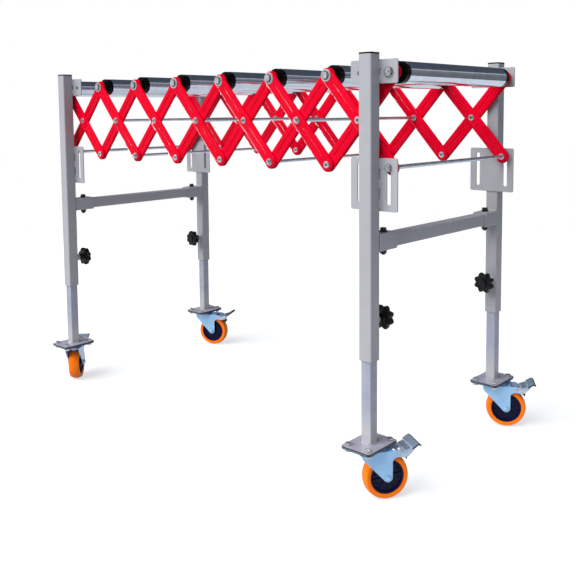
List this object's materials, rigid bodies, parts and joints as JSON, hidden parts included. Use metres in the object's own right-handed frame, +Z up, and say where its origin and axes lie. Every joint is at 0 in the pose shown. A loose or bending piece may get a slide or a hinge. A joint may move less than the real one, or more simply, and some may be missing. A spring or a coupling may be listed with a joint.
{
  "type": "roller conveyor table",
  "caption": "Expandable gravity roller conveyor: a scissor lattice with free rollers between end frames on telescoping legs, each leg clamped by a star knob over a braked swivel caster.",
  "frame": {"origin": "on the floor, under the middle between the four posts", "axes": "+X along the conveying direction towards the end with the fixed lead joint, +Y towards the back, +Z up"},
  "size_m": [1.3452, 0.6861, 0.9585],
  "materials": {
    "grey_paint": "satin silver-grey paint",
    "grey_paint_bar": "satin silver-grey paint",
    "zinc_fittings": "zinc plated",
    "red_paint": "glossy red enamel",
    "zinc_pins": "bright zinc",
    "roller_steel": "bright zinc-plated tube",
    "leg_zinc": "brushed zinc",
    "black_knob": "fine grain",
    "fork_zinc": "blue zinc",
    "hub_navy": "gloss",
    "tyre_orange": "satin polyurethane",
    "brake_zinc": "zinc plated"
  },
  "bodies": {
    "frame_right": {"posts_right": "grey_paint", "crossbar_right": "grey_paint_bar", "fittings_right": "zinc_fittings"},
    "frame_left": {"posts_left": "grey_paint", "crossbar_left": "grey_paint_bar", "fittings_left": "zinc_fittings"},
    "up_1": {"link_up_1": "red_paint", "pins_1": "zinc_pins"},
    "down_1": {"link_down_1": "red_paint"},
    "up_2": {"link_up_2": "red_paint", "pins_2": "zinc_pins"},
    "down_2": {"link_down_2": "red_paint"},
    "up_3": {"link_up_3": "red_paint", "pins_3": "zinc_pins"},
    "down_3": {"link_down_3": "red_paint"},
    "up_4": {"link_up_4": "red_paint", "pins_4": "zinc_pins"},
    "down_4": {"link_down_4": "red_paint"},
    "up_5": {"link_up_5": "red_paint", "pins_5": "zinc_pins"},
    "down_5": {"link_down_5": "red_paint"},
    "up_6": {"link_up_6": "red_paint", "pins_6": "zinc_pins"},
    "down_6": {"link_down_6": "red_paint"},
    "up_7": {"link_up_7": "red_paint", "pins_7": "zinc_pins"},
    "down_7": {"link_down_7": "red_paint", "rod_end": "zinc_pins"},
    "roller_0": {"roller_0": "roller_steel"},
    "roller_1": {"roller_1": "roller_steel"},
    "roller_2": {"roller_2": "roller_steel"},
    "roller_3": {"roller_3": "roller_steel"},
    "roller_4": {"roller_4": "roller_steel"},
    "roller_5": {"roller_5": "roller_steel"},
    "roller_6": {"roller_6": "roller_steel"},
    "roller_7": {"roller_7": "roller_steel"},
    "leg_fr": {"leg_fr": "leg_zinc"},
    "knob_fr": {"knob_fr": "black_knob"},
    "fork_fr": {"fork_fr": "fork_zinc"},
    "wheel_fr": {"hub_fr": "hub_navy", "tyre_fr": "tyre_orange"},
    "brake_fr": {"brake_fr": "brake_zinc"},
    "leg_br": {"leg_br": "leg_zinc"},
    "knob_br": {"knob_br": "black_knob"},
    "fork_br": {"fork_br": "fork_zinc"},
    "wheel_br": {"hub_br": "hub_navy", "tyre_br": "tyre_orange"},
    "brake_br": {"brake_br": "brake_zinc"},
    "leg_fl": {"leg_fl": "leg_zinc"},
    "knob_fl": {"knob_fl": "black_knob"},
    "fork_fl": {"fork_fl": "fork_zinc"},
    "wheel_fl": {"hub_fl": "hub_navy", "tyre_fl": "tyre_orange"},
    "brake_fl": {"brake_fl": "brake_zinc"},
    "leg_bl": {"leg_bl": "leg_zinc"},
    "knob_bl": {"knob_bl": "black_knob"},
    "fork_bl": {"fork_bl": "fork_zinc"},
    "wheel_bl": {"hub_bl": "hub_navy", "tyre_bl": "tyre_orange"},
    "brake_bl": {"brake_bl": "brake_zinc"}
  },
  "joints": [
    {"name": "fold", "type": "hinge", "parent": "frame_right", "child": "up_7", "pos_m": [0.609, 0, 0.918], "axis": [0, -1, 0], "range_deg": [0, 29]},
    {"name": "fold_down_7", "type": "hinge", "parent": "up_7", "child": "down_7", "pos_m": [0.522, 0, 0.819], "axis": [0, -1, 0], "range_deg": [-58, 0]},
    {"name": "fold_down_6", "type": "hinge", "parent": "up_7", "child": "down_6", "pos_m": [0.435, 0, 0.72], "axis": [0, -1, 0], "range_deg": [-58, 0]},
    {"name": "fold_up_6", "type": "hinge", "parent": "down_6", "child": "up_6", "pos_m": [0.348, 0, 0.819], "axis": [0, -1, 0], "range_deg": [0, 58]},
    {"name": "fold_down_5", "type": "hinge", "parent": "up_6", "child": "down_5", "pos_m": [0.261, 0, 0.72], "axis": [0, -1, 0], "range_deg": [-58, 0]},
    {"name": "fold_up_5", "type": "hinge", "parent": "down_5", "child": "up_5", "pos_m": [0.174, 0, 0.819], "axis": [0, -1, 0], "range_deg": [0, 58]},
    {"name": "fold_down_4", "type": "hinge", "parent": "up_5", "child": "down_4", "pos_m": [0.087, 0, 0.72], "axis": [0, -1, 0], "range_deg": [-58, 0]},
    {"name": "fold_up_4", "type": "hinge", "parent": "down_4", "child": "up_4", "pos_m": [0, 0, 0.819], "axis": [0, -1, 0], "range_deg": [0, 58]},
    {"name": "fold_down_3", "type": "hinge", "parent": "up_4", "child": "down_3", "pos_m": [-0.087, 0, 0.72], "axis": [0, -1, 0], "range_deg": [-58, 0]},
    {"name": "fold_up_3", "type": "hinge", "parent": "down_3", "child": "up_3", "pos_m": [-0.174, 0, 0.819], "axis": [0, -1, 0], "range_deg": [0, 58]},
    {"name": "fold_down_2", "type": "hinge", "parent": "up_3", "child": "down_2", "pos_m": [-0.261, 0, 0.72], "axis": [0, -1, 0], "range_deg": [-58, 0]},
    {"name": "fold_up_2", "type": "hinge", "parent": "down_2", "child": "up_2", "pos_m": [-0.348, 0, 0.819], "axis": [0, -1, 0], "range_deg": [0, 58]},
    {"name": "fold_down_1", "type": "hinge", "parent": "up_2", "child": "down_1", "pos_m": [-0.435, 0, 0.72], "axis": [0, -1, 0], "range_deg": [-58, 0]},
    {"name": "fold_up_1", "type": "hinge", "parent": "down_1", "child": "up_1", "pos_m": [-0.522, 0, 0.819], "axis": [0, -1, 0], "range_deg": [0, 58]},
    {"name": "fold_left", "type": "hinge", "parent": "down_1", "child": "frame_left", "pos_m": [-0.609, 0, 0.918], "axis": [0, -1, 0], "range_deg": [0, 29]},
    {"name": "roller_0_spin", "type": "hinge", "parent": "frame_left", "child": "roller_0", "pos_m": [-0.609, 0, 0.918], "axis": [0, 1, 0], "continuous": true},
    {"name": "roller_1_spin", "type": "hinge", "parent": "up_1", "child": "roller_1", "pos_m": [-0.435, 0, 0.918], "axis": [0, 1, 0], "continuous": true},
    {"name": "roller_2_spin", "type": "hinge", "parent": "up_2", "child": "roller_2", "pos_m": [-0.261, 0, 0.918], "axis": [0, 1, 0], "continuous": true},
    {"name": "roller_3_spin", "type": "hinge", "parent": "up_3", "child": "roller_3", "pos_m": [-0.087, 0, 0.918], "axis": [0, 1, 0], "continuous": true},
    {"name": "roller_4_spin", "type": "hinge", "parent": "up_4", "child": "roller_4", "pos_m": [0.087, 0, 0.918], "axis": [0, 1, 0], "continuous": true},
    {"name": "roller_5_spin", "type": "hinge", "parent": "up_5", "child": "roller_5", "pos_m": [0.261, 0, 0.918], "axis": [0, 1, 0], "continuous": true},
    {"name": "roller_6_spin", "type": "hinge", "parent": "up_6", "child": "roller_6", "pos_m": [0.435, 0, 0.918], "axis": [0, 1, 0], "continuous": true},
    {"name": "roller_7_spin", "type": "hinge", "parent": "up_7", "child": "roller_7", "pos_m": [0.609, 0, 0.918], "axis": [0, 1, 0], "continuous": true},
    {"name": "leg_fr_slide", "type": "slide", "parent": "frame_right", "child": "leg_fr", "axis": [0, 0, 1], "range_m": [-0.15, 0.17]},
    {"name": "knob_fr_turn", "type": "hinge", "parent": "frame_right", "child": "knob_fr", "pos_m": [0.571, -0.236, 0.392], "axis": [0, 1, 0], "range_deg": [0, 720]},
    {"name": "swivel_fr", "type": "hinge", "parent": "leg_fr", "child": "fork_fr", "pos_m": [0.571, -0.276, 0.111], "axis": [0, 0, 1], "continuous": true},
    {"name": "wheel_fr_spin", "type": "hinge", "parent": "fork_fr", "child": "wheel_fr", "pos_m": [0.59061, -0.24581, 0.051], "axis": [-0.8387, 0.5446, 0], "continuous": true},
    {"name": "brake_fr_press", "type": "hinge", "parent": "fork_fr", "child": "brake_fr", "pos_m": [0.60477, -0.224, 0.104], "axis": [-0.8387, 0.5446, 0], "range_deg": [0, 11]},
    {"name": "leg_br_slide", "type": "slide", "parent": "frame_right", "child": "leg_br", "axis": [0, 0, 1], "range_m": [-0.15, 0.17]},
    {"name": "knob_br_turn", "type": "hinge", "parent": "frame_right", "child": "knob_br", "pos_m": [0.571, 0.236, 0.392], "axis": [0, -1, 0], "range_deg": [0, 720]},
    {"name": "swivel_br", "type": "hinge", "parent": "leg_br", "child": "fork_br", "pos_m": [0.571, 0.276, 0.111], "axis": [0, 0, 1], "continuous": true},
    {"name": "wheel_br_spin", "type": "hinge", "parent": "fork_br", "child": "wheel_br", "pos_m": [0.60153, 0.29508, 0.051], "axis": [-0.5299, 0.848, 0], "continuous": true},
    {"name": "brake_br_press", "type": "hinge", "parent": "fork_br", "child": "brake_br", "pos_m": [0.62358, 0.30885, 0.104], "axis": [-0.5299, 0.848, 0], "range_deg": [0, 11]},
    {"name": "leg_fl_slide", "type": "slide", "parent": "frame_left", "child": "leg_fl", "axis": [0, 0, 1], "range_m": [-0.15, 0.17]},
    {"name": "knob_fl_turn", "type": "hinge", "parent": "frame_left", "child": "knob_fl", "pos_m": [-0.571, -0.236, 0.392], "axis": [0, 1, 0], "range_deg": [0, 720]},
    {"name": "swivel_fl", "type": "hinge", "parent": "leg_fl", "child": "fork_fl", "pos_m": [-0.571, -0.276, 0.111], "axis": [0, 0, 1], "continuous": true},
    {"name": "wheel_fl_spin", "type": "hinge", "parent": "fork_fl", "child": "wheel_fl", "pos_m": [-0.59646, -0.25054, 0.051], "axis": [-0.7071, -0.7071, 0], "continuous": true},
    {"name": "brake_fl_press", "type": "hinge", "parent": "fork_fl", "child": "brake_fl", "pos_m": [-0.61484, -0.23216, 0.104], "axis": [-0.7071, -0.7071, 0], "range_deg": [0, 11]},
    {"name": "leg_bl_slide", "type": "slide", "parent": "frame_left", "child": "leg_bl", "axis": [0, 0, 1], "range_m": [-0.15, 0.17]},
    {"name": "knob_bl_turn", "type": "hinge", "parent": "frame_left", "child": "knob_bl", "pos_m": [-0.571, 0.236, 0.392], "axis": [0, -1, 0], "range_deg": [0, 720]},
    {"name": "swivel_bl", "type": "hinge", "parent": "leg_bl", "child": "fork_bl", "pos_m": [-0.571, 0.276, 0.111], "axis": [0, 0, 1], "continuous": true},
    {"name": "wheel_bl_spin", "type": "hinge", "parent": "fork_bl", "child": "wheel_bl", "pos_m": [-0.53864, 0.29178, 0.051], "axis": [-0.4384, 0.8988, 0], "continuous": true},
    {"name": "brake_bl_press", "type": "hinge", "parent": "fork_bl", "child": "brake_bl", "pos_m": [-0.51528, 0.30318, 0.104], "axis": [-0.4384, 0.8988, 0], "range_deg": [0, 11]}
  ],
  "couplings": [
    {"joint": "fold_down_7", "follows": "fold", "ratio": -2},
    {"joint": "fold_down_6", "follows": "fold", "ratio": -2},
    {"joint": "fold_up_6", "follows": "fold", "ratio": 2},
    {"joint": "fold_down_5", "follows": "fold", "ratio": -2},
    {"joint": "fold_up_5", "follows": "fold", "ratio": 2},
    {"joint": "fold_down_4", "follows": "fold", "ratio": -2},
    {"joint": "fold_up_4", "follows": "fold", "ratio": 2},
    {"joint": "fold_down_3", "follows": "fold", "ratio": -2},
    {"joint": "fold_up_3", "follows": "fold", "ratio": 2},
    {"joint": "fold_down_2", "follows": "fold", "ratio": -2},
    {"joint": "fold_up_2", "follows": "fold", "ratio": 2},
    {"joint": "fold_down_1", "follows": "fold", "ratio": -2},
    {"joint": "fold_up_1", "follows": "fold", "ratio": 2},
    {"joint": "fold_left", "follows": "fold", "ratio": 1}
  ]
}
